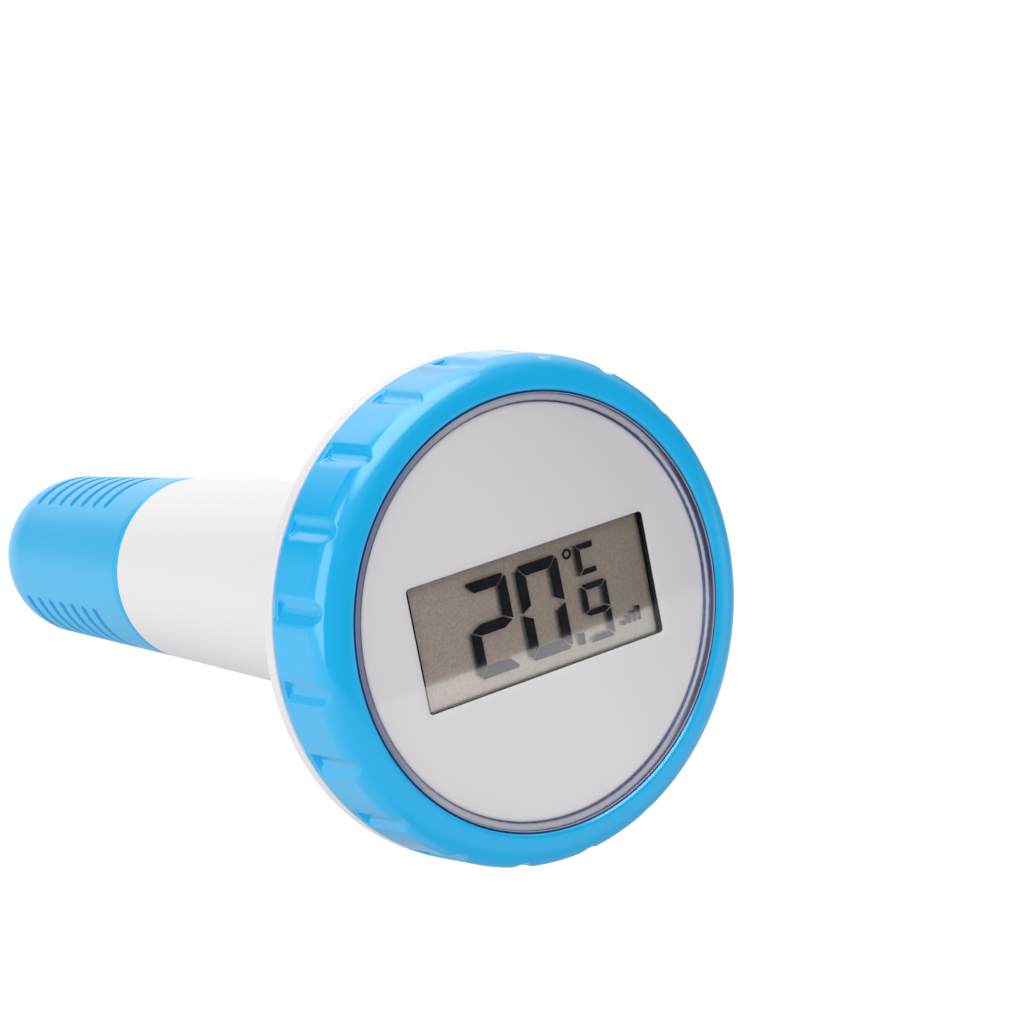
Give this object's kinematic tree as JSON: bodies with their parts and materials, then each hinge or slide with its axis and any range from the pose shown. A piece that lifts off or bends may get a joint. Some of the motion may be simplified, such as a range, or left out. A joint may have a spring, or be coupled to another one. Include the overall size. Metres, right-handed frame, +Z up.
{
  "type": "floating pool thermometer",
  "caption": "Floating pool thermometer: round display head under a notched locking ring, on a tapered float tube with a grooved end cap.",
  "frame": {"origin": "lowest point of the end cap's nose, on the float's axis", "axes": "+Z up the float's axis to the display, +X along the display's reading direction, +Y towards the top of its digits"},
  "size_m": [0.0946, 0.0946, 0.19],
  "materials": {
    "ring_blue": "smooth moulded, glossy",
    "cap_blue": "smooth moulded, semi gloss",
    "body_white": "smooth moulded, semi gloss",
    "lens_clear": "clear moulded plastic",
    "dial_grey": "satin printed sheet",
    "rubber_grey": "soft seal",
    "foam_black": "foam",
    "lcd_glass": "polished, polariser tinted",
    "reflector": "satin foil",
    "zebra_pink": "soft",
    "frame_white": "moulded",
    "board_green": "solder mask",
    "chip_black": "moulded epoxy",
    "steel": "plated",
    "brass": "plain",
    "button_dark": "moulded",
    "button_grey": "moulded",
    "holder_black": "moulded",
    "cell_jacket": "printed foil",
    "ballast_grey": "zinc plated",
    "cable_black": "jacket",
    "plug_ivory": "moulded",
    "lead_red": "jacket",
    "lead_black": "jacket"
  },
  "bodies": {
    "hull": {"float_body": "body_white", "lens_gasket": "rubber_grey", "dial_plate": "dial_grey", "lcd_gasket": "foam_black", "lcd_glass": "lcd_glass", "lcd_reflector": "reflector", "zebra_strip": "zebra_pink", "display_frame": "frame_white", "circuit_board": "board_green", "controller_chip": "chip_black", "radio_shield": "steel", "timing_crystal": "steel", "cable_socket": "plug_ivory", "antenna_coil": "brass", "channel_switch": "steel", "unit_switch": "steel", "module_cover": "frame_white", "module_screw_1": "steel", "module_screw_2": "steel", "module_screw_3": "steel", "module_screw_4": "steel", "battery_holder": "holder_black", "battery_1": "cell_jacket", "battery_2": "cell_jacket", "battery_spring_1": "steel", "battery_spring_2": "steel", "negative_contact": "steel", "positive_contact": "steel", "bridge_contact": "steel", "battery_lead_red": "lead_red", "battery_lead_black": "lead_black", "ballast_weight": "ballast_grey", "probe_holder": "rubber_grey", "sensor_probe": "steel", "sensor_cable": "cable_black", "cable_plug": "plug_ivory", "cap_gasket": "rubber_grey"},
    "window": {"lens": "lens_clear"},
    "ring": {"locking_ring": "ring_blue"},
    "cap_core": {"heat_cup": "brass"},
    "cap": {"end_cap": "cap_blue"},
    "channel_key": {"channel_button": "button_dark"},
    "unit_key": {"unit_button": "button_grey"}
  },
  "joints": [
    {"name": "window_lift", "type": "slide", "parent": "hull", "child": "window", "axis": [0, 0, 1], "range_m": [0, 0.008]},
    {"name": "ring_turn", "type": "hinge", "parent": "window", "child": "ring", "pos_m": [0, 0, 0.1735], "axis": [0, 0, 1], "range_deg": [0, 720]},
    {"name": "cap_drop", "type": "slide", "parent": "hull", "child": "cap_core", "axis": [0, 0, -1], "range_m": [0, 0.006]},
    {"name": "cap_turn", "type": "hinge", "parent": "cap_core", "child": "cap", "pos_m": [0, 0, 0.0652], "axis": [0, 0, -1], "range_deg": [0, 720]},
    {"name": "channel_press", "type": "slide", "parent": "hull", "child": "channel_key", "axis": [0, 0, 1], "range_m": [0, 0.0006]},
    {"name": "unit_press", "type": "slide", "parent": "hull", "child": "unit_key", "axis": [0, 0, 1], "range_m": [0, 0.0006]}
  ],
  "couplings": [
    {"joint": "window_lift", "follows": "ring_turn", "m_per_rad": 0.00063661},
    {"joint": "cap_drop", "follows": "cap_turn", "m_per_rad": 0.00047746}
  ]
}
